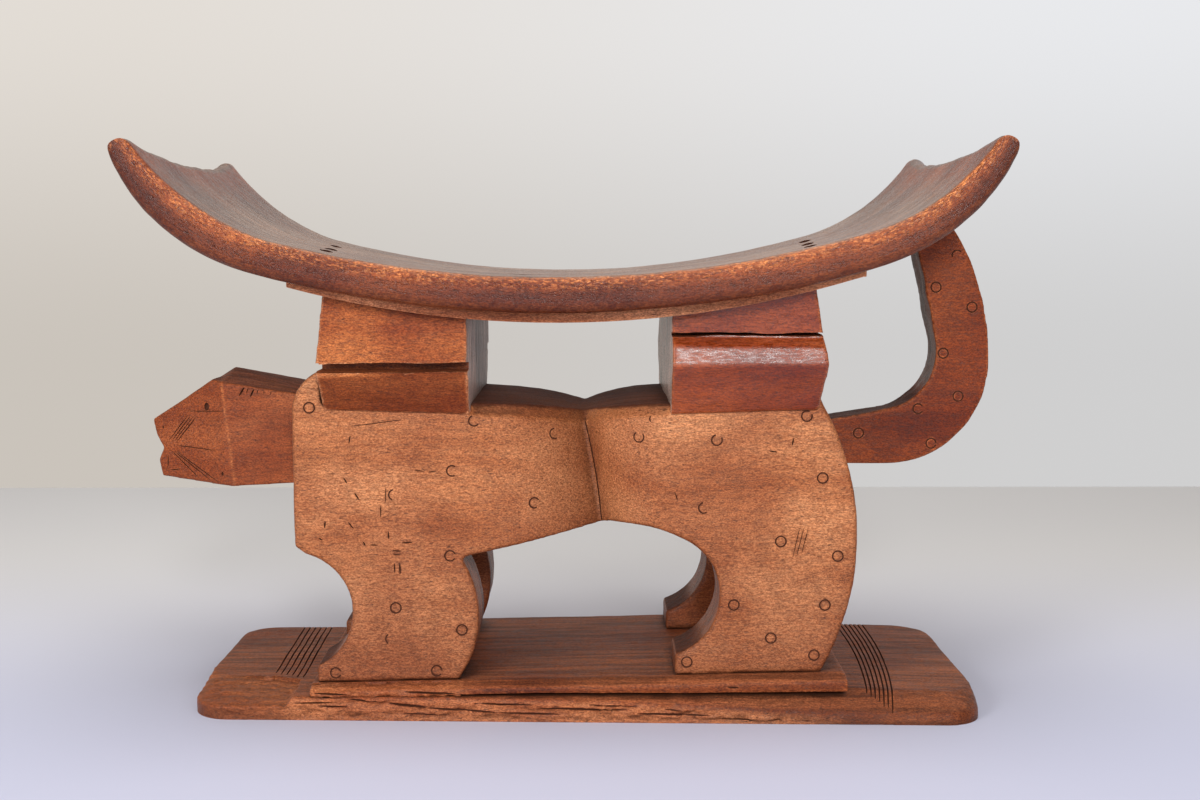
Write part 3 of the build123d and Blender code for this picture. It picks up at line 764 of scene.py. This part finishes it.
# The seat's greyish top tone is a painted reflection; its rim flecks are worn wood with a painted highlight
SEAT_WOOD = carved_wood(
    "seat_wood", main=(0.20, 0.033, 0.004), light=(0.29, 0.062, 0.013), dark=(0.12, 0.019, 0.003),
    top=(0.235, 0.137, 0.092), end=(0.16, 0.062, 0.036), edge=(0.40, 0.12, 0.035), rim=(0.58, 0.185, 0.05),
    gloss=0.34, top_gloss=0.34, shine=0.35, under=0.6)
# The band's light tones are partly its own lighter wood and partly painted light, making up for the shade
# under the seat
BAND_WOOD = carved_wood(
    "band_wood", main=(0.56, 0.18, 0.070), light=(0.66, 0.25, 0.11), dark=(0.43, 0.11, 0.035),
    top=(0.30, 0.11, 0.05), end=(0.34, 0.18, 0.12), recess_shade=0.4, under=0.0)
BASE_WOOD = carved_wood(
    "base_wood", main=(0.145, 0.026, 0.004), light=(0.21, 0.046, 0.010), dark=(0.09, 0.015, 0.003),
    top=(0.24, 0.068, 0.025), end=(0.17, 0.04, 0.012), edge=(0.34, 0.09, 0.028), rough=(0.41, 0.13, 0.047),
    under=0.2, top_gloss=0.6)
# Near-black walls of knife cuts, ring stamps, cracks, seat slots, the waist groove and the lip under the
# plinth: partly grime in them, partly painted shade
DARK_CUT = plain_dark("dark_cut", (0.042, 0.012, 0.005))


def finish_piece(piece, material, *nodes, cut_in=DARK_CUT):
    """Give a piece its materials and its place in the frame, for the nodes it stands in for."""
    slots = material_slots(piece)
    slots[0] = material
    slots[1] = cut_in
    shade(piece)
    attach(piece, "root")
    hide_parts(*nodes)


# ---------------- seat
def seat_bends():
    """The steep end of the crescent: where it starts along the top, how far the seat has turned there, its
    radius, and where it ends."""
    drop = SEAT_MID_RADIUS - math.sqrt(SEAT_MID_RADIUS ** 2 - SEAT_MID_HALF ** 2)
    turned = math.asin(SEAT_MID_HALF / SEAT_MID_RADIUS)
    chord = Vector((SEAT_TIP[0] - SEAT_MID_HALF, SEAT_TIP[1] - drop))
    swing = math.atan2(chord.y, chord.x) - turned
    radius = chord.length / (2 * math.sin(swing))
    start = SEAT_MID_RADIUS * turned
    return start, turned, radius, start + radius * 2 * swing


STEEP_START, STEEP_TURN, STEEP_RADIUS, SEAT_HALF = seat_bends()


def seat_place(along, depth):
    """X and Z in the stool, in millimetres, of a point along the crescent and under its top surface."""
    run = abs(along)
    if run <= STEEP_START:
        angle = run / SEAT_MID_RADIUS
        x = SEAT_MID_RADIUS * math.sin(angle)
        z = SEAT_MID_RADIUS * (1 - math.cos(angle))
    else:
        angle = STEEP_TURN + (run - STEEP_START) / STEEP_RADIUS
        x = SEAT_MID_HALF + STEEP_RADIUS * (math.sin(angle) - math.sin(STEEP_TURN))
        z = SEAT_MID_RADIUS * (1 - math.cos(STEEP_TURN))
        z += STEEP_RADIUS * (math.cos(STEEP_TURN) - math.cos(angle))
    x = math.copysign(x + depth * math.sin(angle), along)
    z -= depth * math.cos(angle)
    tilt = math.radians(SEAT_TILT)
    return (SEAT_AT[0] + x * math.cos(tilt) - z * math.sin(tilt),
            SEAT_AT[1] + z * math.cos(tilt) + x * math.sin(tilt))


def straight_slab(length, width, thickness):
    """A flat slab with rounded edges and a fine grid of faces."""
    bm = unit_cube()
    bmesh.ops.scale(bm, vec=(length, width, thickness), verts=bm.verts)
    level = running(bm, 0) + running(bm, 1)
    high = [edge for edge in level if edge.verts[0].co.z > 0 and edge.verts[1].co.z > 0]
    round_edges(bm, high, TOP_ROUNDING, 4)
    low = [edge for edge in running(bm, 0) + running(bm, 1)
           if max(edge.verts[0].co.z, edge.verts[1].co.z) < -0.4 * thickness]
    round_edges(bm, low, UNDER_ROUNDING, 6)
    for axis, cuts, at_least in ((1, 95, 0.5 * width), (2, 7, 0.3 * thickness), (0, 299, 0.5 * length)):
        edges = [edge for edge in running(bm, axis) if edge.calc_length() > at_least]
        bmesh.ops.subdivide_edges(bm, edges=edges, cuts=cuts, use_grid_fill=True)
    return bm


def make_seat():
    bm = straight_slab(2 * SEAT_HALF, SEAT_WIDTH, SEAT_THICKNESS)
    below = bm.verts.layers.float.new("below_rim")
    raised = bm.verts.layers.float.new("near_tip")
    flow = bm.verts.layers.float_vector.new("flow")
    for vert in bm.verts:
        along, across, up = vert.co
        near_tip = max(0.0, (abs(along) - STEEP_START) / (SEAT_HALF - STEEP_START))
        swell = LEFT_SWELL * math.sin(math.pi * near_tip) if along < 0 else 0.0
        thickness = SEAT_THICKNESS + (TIP_THICKNESS - SEAT_THICKNESS) * near_tip ** 2.5 + swell
        share_down = 0.5 - up / SEAT_THICKNESS
        depth = share_down * thickness
        vert[below] = share_down
        vert[raised] = near_tip
        vert[flow] = Vector((along, across, up)) * MM
        at_end = max(0.0, 1 - (SEAT_HALF - abs(along)) / 40) ** 2
        rounded = 1 - math.sqrt(max(0.0, 1 - 4 * (up / SEAT_THICKNESS) ** 2))
        along -= math.copysign(at_end * TIP_ROUNDING * rounded, along)
        worn = across / (SEAT_WIDTH / 2)
        hollow = TIP_SCOOP * max(0.0, 1 - (worn * 1.08) ** 2) ** 0.8
        hollow += 1.6 * ripple(along / 200, across / 22, 3.1) + 0.8
        along -= math.copysign(near_tip ** 3 * max(0.0, hollow), along)
        dish = SEAT_DISH * max(0.0, 1 - worn ** 2) * (1 - near_tip) * max(0.0, 1 - depth / SEAT_THICKNESS)
        x, z = seat_place(along, depth + dish)
        if x < 0:
            z += LEFT_TIP_LIFT * near_tip ** 2 + 0.7 * LEFT_SWELL * math.sin(math.pi * near_tip)
        vert.co = Vector((x, across, z)) * MM
    bmesh.ops.recalc_face_normals(bm, faces=bm.faces)
    hew(bm, bm.verts, SEAT_MARKS)
    seat = new_piece("carved_seat", bm)
    carve_away(seat, seat_slots())
    finish_piece(seat, SEAT_WOOD, "seat")


def slot_lens(bm, x, y, length, width, lean=0.0):
    """A slot with pointed ends, as a blade that reaches into the seat's top and stands out above it."""
    verts = bmesh.ops.create_circle(bm, cap_ends=True, segments=24, radius=0.5)["verts"]
    for vert in verts:
        vert.co.y *= (1 - min(1.0, abs(2 * vert.co.x)) ** 2) ** 0.3
    bmesh.ops.scale(bm, vec=(length * MM, width * MM, 1), verts=verts)
    face = next(face for face in bm.faces if all(vert in verts for vert in face.verts))
    made = bmesh.ops.extrude_face_region(bm, geom=[face])
    top = [item for item in made["geom"] if isinstance(item, bmesh.types.BMVert)]
    bmesh.ops.translate(bm, vec=(0, 0, 30 * MM), verts=top)
    surface = SEAT_MID_RADIUS - math.sqrt(SEAT_MID_RADIUS ** 2 - x ** 2)
    slope = math.asin(x / SEAT_MID_RADIUS)
    whole = verts + top
    bmesh.ops.translate(bm, vec=(0, 0, -SLOT_DEPTH * MM), verts=whole)
    place = Matrix.Translation(Vector((x + SEAT_AT[0], y, surface + SEAT_AT[1])) * MM)
    turn = Matrix.Rotation(-slope, 4, "Y") @ Matrix.Rotation(lean, 4, "Z")
    bmesh.ops.transform(bm, matrix=place @ turn, verts=whole)


def seat_slots():
    """The long slit in the middle, and at each side a row of three short slots across the seat."""
    bm = bmesh.new()
    slot_lens(bm, *LONG_SLIT)
    for row_x, lean in SLOT_ROWS:
        for y in (-SLOT_PITCH, 0.0, SLOT_PITCH):
            slot_lens(bm, row_x - lean * y, y, *SHORT_SLOT, math.pi / 2 + lean)
    return bm


# ---------------- plank and plinth
def plank_reach(x, side):
    """How far the plank reaches to one side at x, with its corners rounded."""
    full = at_stops(x, PLANK_LEFT if side < 0 else PLANK_RIGHT)
    inset = PLANK_CORNER - min(PLANK_CORNER, x - PLANK_X[0], PLANK_X[1] - x)
    return full - PLANK_CORNER + math.sqrt(PLANK_CORNER ** 2 - inset ** 2)


def plank_surface(x, y):
    """Level of the plank's top: worn down towards both long edges and rounded at the ends."""
    top = at_stops(x, PLANK_TOP)
    from_end = min(x - PLANK_X[0], PLANK_X[1] - x)
    if y < 0:
        slope = at_stops(x, NEAR_SLOPE) + 3.0 * ripple(x / 13, 0, 4.2) + 1.2 * ripple(x / 4, 0, 2.6)
        low, step, bend = at_stops(x, NEAR_EDGE), at_stops(x, NEAR_STEP), 0.9 if x < CHIP_X else 0.5
        inset = plank_reach(x, -1) + y
    else:
        slope, low, step, bend = FAR_SLOPE, FAR_EDGE, 0.0, 0.6
        inset = plank_reach(x, 1) - y
    level = top
    if inset < slope:
        level = low + (top - step - low) * (max(0.0, inset) / slope) ** bend
    round_off = TOP_EDGE_ROUNDING - min(TOP_EDGE_ROUNDING, from_end, max(0.0, inset))
    return level - 0.2 * (TOP_EDGE_ROUNDING - math.sqrt(TOP_EDGE_ROUNDING ** 2 - round_off ** 2))


def plank_column(share):
    """X of a column of the plank's mesh: even in the middle, closer in the rounded corners."""
    ends = 0.06
    length = PLANK_X[1] - PLANK_X[0]
    for start, sign, place in ((PLANK_X[0], 1, share), (PLANK_X[1], -1, 1 - share)):
        if place < ends:
            return start + sign * PLANK_CORNER * (1 - math.cos(place / ends * math.pi / 2))
    return PLANK_X[0] + PLANK_CORNER + (share - ends) / (1 - 2 * ends) * (length - 2 * PLANK_CORNER)


def make_plank():
    bm = fine_block(PLANK_GRID)
    rough = bm.verts.layers.float.new("rough")
    near_darkening = bm.verts.layers.float.new("crease")
    for vert in bm.verts:
        x = plank_column(vert.co.x + 0.5)
        side = -1 if vert.co.y < 0 else 1
        y = 2 * vert.co.y * plank_reach(x, side)
        edge_face = abs(vert.co.y) > 0.499
        z = (vert.co.z + 0.5) * plank_surface(x, y * (1 if edge_face else 0.9999))
        broken = at_stops(x, NEAR_ROUGH)
        slope_start = plank_reach(x, -1) - at_stops(x, NEAR_SLOPE)
        if edge_face and side < 0:
            shape = 1.1 * ripple(x / 14, z / 4.5, 5.0) + 0.6 * ripple(x / 3.5, z / 2.2, 9.0)
            y += broken * max(0.0, 0.6 + shape) * min(1.0, z / 2)
            vert[rough] = min(1.0, broken)
        elif side < 0 and x < CHIP_X + 2 and -y > slope_start:
            z += (1.2 * ripple(x / 7, y / 5, 3.0) + 0.5 * ripple(x / 3, y / 2.4, 6.0)) * min(1.0, z / 12)
            vert[rough] = 0.3
        if side < 0 and -y > slope_start - 4:
            vert[near_darkening] = at_stops(x, NEAR_DARKENING)
        vert.co = Vector((x, y, z)) * MM
    bmesh.ops.recalc_face_normals(bm, faces=bm.faces)
    hew(bm, [vert for vert in bm.verts if vert.co.z > 0.5 * MM], PLANK_MARKS)
    plank = new_piece("worn_plank", bm)
    edit(plank, flatten_bottom)
    carve_away(plank, saw_cuts())
    mark(plank, cuts=CRACKS)
    finish_piece(plank, BASE_WOOD, "base_plank")


def flatten_bottom(bm):
    """Make the underside a single flat face."""
    under = {face for face in bm.faces if all(vert.co.z < 0.2 * MM for vert in face.verts)}
    rim = [edge for edge in bm.edges if len({face in under for face in edge.link_faces}) == 2]
    bmesh.ops.delete(bm, geom=list(under), context="FACES")
    bmesh.ops.edgeloop_fill(bm, edges=rim)


def head_band_x(middle, y):
    """The straight cuts near the head lean a little."""
    return middle + 1.8 - 0.026 * y


def tail_band_x(middle, y):
    """The cuts near the tail bow out and swing back towards the near edge, where they also close up."""
    return middle - 13.0 * ((y - 55) / 160) ** 2 + (middle - TAIL_BAND[0]) * 0.0012 * (y + 20)


def saw_cuts():
    """The two bands of cuts across the plank, as thin wedges that follow its surface."""
    bm = bmesh.new()
    for band, place in ((HEAD_BAND, head_band_x), (TAIL_BAND, tail_band_x)):
        middle, count, pitch, reach = band
        for i in range(count):
            centre = middle + (i - (count - 1) / 2) * pitch
            ends = (reach[0] - 2.5 * i + 4 * ripple(i * 1.7, 0, 1), reach[1])
            saw_cut(bm, lambda y, centre=centre: place(centre, y), ends)
    return bm


def saw_cut(bm, place, ends):
    """Add one cut, which gets shallow at its near end."""
    blade = unit_bar(1, 29)
    for vert in blade.verts:
        y = ends[0] + (ends[1] - ends[0]) * (vert.co.y + 0.5)
        x = place(y)
        taper = min(1.0, (y - ends[0]) / 12 + 0.15)
        level = plank_surface(x, y)
        if vert.co.z < 0:
            vert.co = Vector((x + vert.co.x * SAW_WIDTH[0], y, level - SAW_DEPTH * taper)) * MM
        else:
            vert.co = Vector((x + vert.co.x * SAW_WIDTH[1], y, level + 1.6)) * MM
    add_to(bm, blade)


def add_to(bm, part):
    """Add a bmesh to another, and free it."""
    mesh = bpy.data.meshes.new("part")
    part.to_mesh(mesh)
    part.free()
    bm.from_mesh(mesh)
    bpy.data.meshes.remove(mesh)


def make_plinth():
    plinth = cad_mass("worn_plinth", "plinth")
    wear(plinth, ["base_plank"], PLINTH_MARKS, voxel=1.4)
    edit(plinth, break_edge)
    carve_away(plinth, lip_cutter(93, 1.0, **PLINTH_LIP))
    mark(plinth, cuts=PLINTH_CRACKS)
    finish_piece(plinth, BASE_WOOD, "plinth")


def break_edge(bm):
    """Splinter the plinth's near edge at the head end."""
    rough = bm.verts.layers.float.new("rough")
    for vert in bm.verts:
        x, y, z = vert.co / MM
        share = at_stops(x, PLINTH_ROUGH)
        if y < PLINTH_BROKEN_Y and share > 0:
            shape = ripple(x / 13, z / 4, 7.0) + 0.6 * ripple(x / 3.5, z / 2, 2.0)
            vert.co.y += share * 1.5 * max(0.0, 0.5 + shape) * MM
            vert.co.z -= share * 1.2 * max(0.0, 0.4 + ripple(x / 6, y / 3, 8.0)) * MM
            vert[rough] = share if y < PLINTH_FACE_Y else 0.4 * share


# ---------------- the other pieces
def make_body():
    """The animal's body and legs, carved in one and divided at the waist and above the legs."""
    body = cad_mass(
        "carved_forequarters", "forequarters", "hindquarters",
        "fore_leg_left", "fore_leg_right", "hind_leg_left", "hind_leg_right")
    combine(body, new_piece("rump", hull(*RUMP)), "UNION")
    wear(body, ["head", "plinth", "tail", "front_post_lower"], BODY_MARKS, rounds=4)
    surface = surface_of(body)
    for side in (1, -1):
        blade = crease_cutter(surface, *WAIST_LINE, WAIST_BOW, *WAIST_GROOVE)
        bmesh.ops.transform(blade, matrix=Matrix.Scale(side, 4, (0, 1, 0)), verts=blade.verts)
        carve_away(body, blade)
    mark(body, BODY_RINGS, sides=(-1, 1))
    mark(body, cuts=BODY_CUTS)
    rise = (WAIST_TOP[0] - WAIST_BOTTOM[0], WAIST_TOP[1] - WAIST_BOTTOM[1])
    waist = (WAIST_TOP[0], 0, WAIST_TOP[1])
    rear = split_off(body, "carved_hindquarters", waist, Vector((-rise[1], 0, rise[0])), "crease")
    for piece, word, node in ((body, "fore", "forequarters"), (rear, "hind", "hindquarters")):
        left = split_off(piece, "carved_" + word + "_leg_left", (0, 0, LEG_TOP_Z), (0, 0, 1))
        right = new_piece("carved_" + word + "_leg_right", copy_of(left))
        edit(left, lambda bm: keep_side(bm, -1))
        edit(right, lambda bm: keep_side(bm, 1))
        finish_piece(piece, BODY_WOOD, node)
        finish_piece(left, BODY_WOOD, word + "_leg_left")
        finish_piece(right, BODY_WOOD, word + "_leg_right")


def make_head():
    head = cad_mass("carved_head", "head")
    combine(head, new_piece("crest", hull(*CREST)), "UNION")
    wear(head, ["forequarters"], HEAD_MARKS, voxel=1.1)
    edit(head, polish_cheek)
    mark(head, cuts=HEAD_CUTS, pits=HEAD_PITS, sides=(-1, 1))
    finish_piece(head, HEAD_WOOD, "head")


def polish_cheek(bm):
    """The ridge down each cheek is rubbed bright."""
    layer = bm.verts.layers.float.new("rough")
    for vert in bm.verts:
        x, y, z = vert.co / MM
        off = abs(x - at_stops(z, CHEEK_RIDGE) - 0.6 * ripple(z / 6, 0, 3))
        if abs(y) > CHEEK_Y:
            vert[layer] = max(0.0, 1 - off / 1.3) * max(0.0, 0.6 + 0.7 * ripple(z / 5, 2, 0))


def make_tail():
    tail = cad_mass("carved_tail", "tail")
    wear(tail, ["hindquarters", "seat"], TAIL_MARKS, voxel=1.3)
    mark(tail, TAIL_RINGS, sides=(-1, 1))
    finish_piece(tail, TAIL_WOOD, "tail")


def lip_cutter(side, seed, run, low, high, deep, depth):
    """A wavy slot cut from the side: it runs between two X, its mouth between two lines, and narrows inwards.
    low and high are Z of the mouth at both ends of the run, deep is Z of the slot's bottom edges."""
    bm = unit_bar(0, 59)
    for vert in bm.verts:
        share = vert.co.x + 0.5
        wave = ripple(share * 5, vert.co.z * 3, seed) * 1.5 + ripple(share * 17, vert.co.z * 3, seed) * 0.5
        if vert.co.y < 0:
            limits = low if vert.co.z < 0 else high
            y = side + 14
            z = limits[0] + (limits[1] - limits[0]) * share + wave
        else:
            y = side - depth
            z = (deep[0] if vert.co.z < 0 else deep[1]) + wave / 2
        vert.co = Vector((run[0] + (run[1] - run[0]) * share, -y, z)) * MM
    return bm


def slot_round_post(post, slot, half, outer_x, seed):
    """Slots on both long sides of a post, and a shallow one across its outer end."""
    end = 0 if outer_x < 0 else 1
    low, high = slot["low"][end], slot["high"][end]
    across = dict(slot, run=(-half - 12, half + 12), low=(low, low), high=(high, high), depth=3)
    for bm, place in (
            (lip_cutter(half, seed, **slot), Matrix.Identity(4)),
            (lip_cutter(half, seed + 7, **slot), Matrix.Scale(-1, 4, (0, 1, 0))),
            (lip_cutter(abs(outer_x), seed + 3, **across),
             Matrix.Rotation(math.copysign(math.pi / 2, outer_x), 4, "Z"))):
        bmesh.ops.transform(bm, matrix=place, verts=bm.verts)
        carve_away(post, bm)


def make_post(place, upper, foot, slot, half, outer_x, seed, material):
    post = new_piece("carved_" + place + "_post", hull(*upper))
    combine(post, new_piece("foot", hull(*foot)), "UNION")
    if place == "front":
        combine(post, new_piece("band_room", hull(*BAND_ROOM)), "DIFFERENCE")
    wear(post, ["seat_pad"], POST_MARKS, voxel=1.3)
    slot_round_post(post, slot, half, outer_x, seed)
    finish_piece(post, material, place + "_post_lower", place + "_post_upper", cut_in=SLOT_WOOD)


def make_band():
    bm = cad_bmesh("seat_pad")
    bmesh.ops.dissolve_limit(bm, angle_limit=math.radians(1), verts=bm.verts, edges=bm.edges)
    tail_end = [vert for vert in bm.verts if vert.co.x > BAND_TAIL_X * MM]
    bmesh.ops.translate(bm, vec=Vector(BAND_TAIL_SHIFT) * MM, verts=tail_end)
    sharp = [edge for edge in bm.edges if edge.calc_face_angle(0) > math.radians(30)]
    round_edges(bm, sharp, BAND_ROUNDING * MM, 3)
    finish_piece(new_piece("seat_band", bm), BAND_WOOD, "seat_pad")


make_body()
make_head()
make_tail()
make_post("front", FRONT_POST, FRONT_FOOT, FRONT_SLOT, 104, -165.7, 2.0, FRONT_POST_WOOD)
make_post("rear", REAR_POST, REAR_FOOT, REAR_SLOT, 100, 165, 9.0, REAR_POST_WOOD)
make_band()
make_plinth()
make_plank()
make_seat()


# ---------------- stage, light and camera, in metres
FLOOR_SIZE = 3
FLOOR_END = 0.87  # behind the stool, where the floor meets the wall


def pale_floor():
    """A matt floor that turns warmer and lighter towards the back, with the light on it painted into its
    colour.
    """
    material, tree, shader = new_material("pale_floor")
    further_back = stretch(parts_of(object_place(tree))["Y"], -0.2, 0.5)
    color = mix_color(further_back, (0.55, 0.56, 0.69), (0.72, 0.695, 0.68))
    plug(color, shader.inputs["Base Color"])
    plug(0.8, shader.inputs["Roughness"])
    return material


floor_mesh = bmesh.new()
bmesh.ops.create_grid(floor_mesh, x_segments=1, y_segments=1, size=FLOOR_SIZE)
bmesh.ops.translate(floor_mesh, vec=(0, FLOOR_END - FLOOR_SIZE, 0), verts=floor_mesh.verts)
floor = new_piece("floor", floor_mesh)
floor.data.materials.append(pale_floor())


def soft_light(name, place, aim, size, power):
    lamp = bpy.data.lights.new(name, "AREA")
    lamp.shape = "DISK"
    lamp.size = size
    lamp.energy = power
    holder = bpy.data.objects.new(name, lamp)
    bpy.context.scene.collection.objects.link(holder)
    holder.location = place
    holder.rotation_euler = (Vector(aim) - Vector(place)).to_track_quat("-Z", "Y").to_euler()


soft_light("key_lamp", (0.22, -2.1, 1.0), (0, 0, 0.2), 0.4, 22)
soft_light("left_lamp", (-1.5, -1.7, 0.9), (0, 0, 0.2), 0.8, 22)
soft_light("right_lamp", (1.4, -2.0, 1.1), (0, 0, 0.2), 0.8, 7)
soft_light("top_lamp", (0, -0.3, 2.0), (0, 0, 0.1), 1.2, 17)


def studio_world():
    """Even light from all sides. The eye sees pale walls with painted light: brighter towards the top, warmer
    to the left and cooler to the right; reflections see a dim room on the lamps' side."""
    world = bpy.data.worlds.new("studio")
    world.use_nodes = True
    tree = world.node_tree
    light = tree.nodes["Background"]
    plug((0.80, 0.79, 0.78), light.inputs["Color"])
    plug(0.5, light.inputs["Strength"])
    parts = parts_of(node(tree, "ShaderNodeTexCoord").outputs["Generated"])
    rise = stretch(parts["Z"], -0.08, 0.16)
    wall = mix_color(rise, (0.61, 0.59, 0.565), (0.79, 0.775, 0.76))
    aside = stretch(parts["X"], -0.35, 0.35)
    wall = tinted(wall, mix_color(aside, (0.97, 0.93, 0.88), (1.03, 1.06, 1.11)))
    room = node(tree, "ShaderNodeBackground")
    ray = node(tree, "ShaderNodeLightPath").outputs
    behind = stretch(parts["Y"], 0.0, 0.3)
    pale = math_node("MAXIMUM", behind, ray["Is Camera Ray"])
    plug(mix_color(pale, (0.10, 0.09, 0.08), wall), room.inputs["Color"])
    both = node(tree, "ShaderNodeMixShader")
    seen = math_node("MAXIMUM", ray["Is Camera Ray"], ray["Is Glossy Ray"])
    for output, socket in zip((seen, light.outputs[0], room.outputs[0]), both.inputs):
        plug(output, socket)
    plug(both.outputs[0], tree.nodes["World Output"].inputs[0])
    return world


bpy.context.scene.world = studio_world()

camera_data = bpy.data.cameras.new("camera")
camera_data.sensor_width = 36.0
camera_data.lens = 45.0
camera = bpy.data.objects.new("camera", camera_data)
bpy.context.scene.collection.objects.link(camera)
camera.location = (0.01247, -1.07017, 0.31801)
camera.rotation_euler = (math.pi / 2 - 0.1044, 0.0, -0.0067)
bpy.context.scene.camera = camera

bpy.context.scene.view_settings.view_transform = "Standard"
